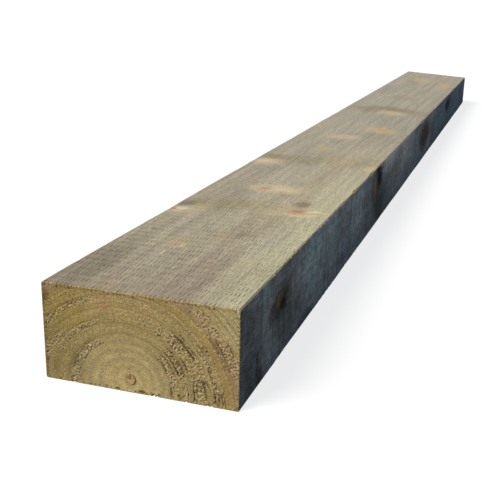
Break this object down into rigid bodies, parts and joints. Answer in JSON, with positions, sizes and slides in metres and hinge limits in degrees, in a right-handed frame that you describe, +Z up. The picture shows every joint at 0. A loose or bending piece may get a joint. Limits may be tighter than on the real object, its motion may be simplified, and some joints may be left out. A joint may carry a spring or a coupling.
{
  "type": "railway sleeper",
  "caption": "Square-sawn softwood sleeper with incised faces, rubbed long edges, torn splinters and short heart cracks in its cross-cut ends.",
  "frame": {"origin": "middle of the underside", "axes": "+Y along the length, away from the end that shows the pith near its lower edge; +X across the width, to the right of someone facing +Y; +Z up through the thickness"},
  "size_m": [0.2, 2.4, 0.1],
  "materials": {
    "treated_softwood": "rough sawn, incised and pressure treated, not coated"
  },
  "bodies": {
    "root": {"sleeper_beam": "treated_softwood"}
  },
  "joints": []
}
